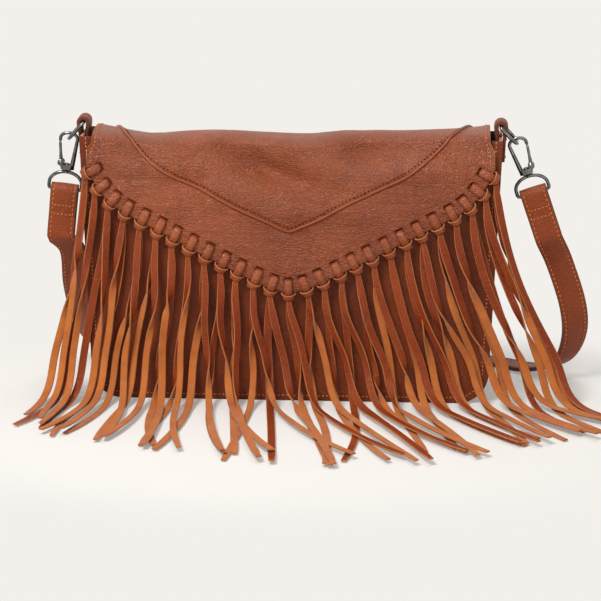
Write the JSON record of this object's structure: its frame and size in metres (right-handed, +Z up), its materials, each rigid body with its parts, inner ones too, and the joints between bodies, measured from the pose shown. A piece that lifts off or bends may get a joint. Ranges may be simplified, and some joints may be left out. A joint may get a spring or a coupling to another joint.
{
  "type": "fringed suede bag",
  "caption": "Small shoulder bag with a laced V-shaped flap, long leather fringe, side rings and a clip-on strap.",
  "frame": {"origin": "middle of the flat base, on the surface the bag stands on", "axes": "+Z up, +X to the viewer's right when facing the flap, the flap and fringe face -Y"},
  "size_m": [0.4323, 0.2923, 0.1972],
  "materials": {
    "body_leather": "soft pebbled tan leather",
    "flap_leather": "soft creased tan leather",
    "strap_leather": "smooth tan leather, stitched",
    "fringe_leather": "soft tan strips with a lighter suede back",
    "dark_metal": "dark gunmetal plate"
  },
  "bodies": {
    "bag": {"back_panel": "body_leather", "flap": "flap_leather", "fringe_01": "fringe_leather", "fringe_02": "fringe_leather", "fringe_03": "fringe_leather", "fringe_04": "fringe_leather", "fringe_05": "fringe_leather", "fringe_06": "fringe_leather", "fringe_07": "fringe_leather", "fringe_08": "fringe_leather", "fringe_09": "fringe_leather", "fringe_10": "fringe_leather", "fringe_11": "fringe_leather", "fringe_12": "fringe_leather", "fringe_13": "fringe_leather", "fringe_14": "fringe_leather", "fringe_15": "fringe_leather", "fringe_16": "fringe_leather", "fringe_17": "fringe_leather", "fringe_18": "fringe_leather", "fringe_19": "fringe_leather", "fringe_20": "fringe_leather", "fringe_21": "fringe_leather", "fringe_22": "fringe_leather", "fringe_23": "fringe_leather", "fringe_24": "fringe_leather", "fringe_25": "fringe_leather", "fringe_26": "fringe_leather", "fringe_27": "fringe_leather", "front_panel": "body_leather", "gusset": "body_leather", "snap_body_half": "dark_metal", "snap_flap_half": "dark_metal", "strap": "strap_leather", "strap_ring_left": "dark_metal", "strap_ring_right": "dark_metal", "tab_left": "flap_leather", "tab_right": "flap_leather"},
    "ring_right": {"bag_ring_right": "dark_metal"},
    "clasp_right": {"gate_pin_right": "dark_metal", "hook_right": "dark_metal"},
    "lever_right": {"gate_right": "dark_metal"},
    "ring_left": {"bag_ring_left": "dark_metal"},
    "clasp_left": {"gate_pin_left": "dark_metal", "hook_left": "dark_metal"},
    "lever_left": {"gate_left": "dark_metal"}
  },
  "joints": [
    {"name": "ring_swing_right", "type": "hinge", "parent": "bag", "child": "ring_right", "pos_m": [0.145, 0, 0.19125], "axis": [0, 1, 0], "range_deg": [-3, 6]},
    {"name": "clasp_swivel_right", "type": "hinge", "parent": "bag", "child": "clasp_right", "pos_m": [0.16343, 0, 0.1592], "axis": [-0.326, 0, 0.9454], "range_deg": [-40, 40]},
    {"name": "gate_open_right", "type": "hinge", "parent": "clasp_right", "child": "lever_right", "pos_m": [0.16629, 0, 0.16379], "axis": [0, -1, 0], "range_deg": [0, 22], "stiffness_Nm_per_rad": 0.02, "springref_deg": -20.05},
    {"name": "ring_swing_left", "type": "hinge", "parent": "bag", "child": "ring_left", "pos_m": [-0.145, 0, 0.19125], "axis": [0, 1, 0], "range_deg": [-6, 3]},
    {"name": "clasp_swivel_left", "type": "hinge", "parent": "bag", "child": "clasp_left", "pos_m": [-0.15824, 0, 0.15816], "axis": [0.105, 0, 0.9945], "range_deg": [-40, 40]},
    {"name": "gate_open_left", "type": "hinge", "parent": "clasp_left", "child": "lever_left", "pos_m": [-0.16206, 0, 0.16198], "axis": [0, 1, 0], "range_deg": [0, 22], "stiffness_Nm_per_rad": 0.02, "springref_deg": -20.05}
  ]
}
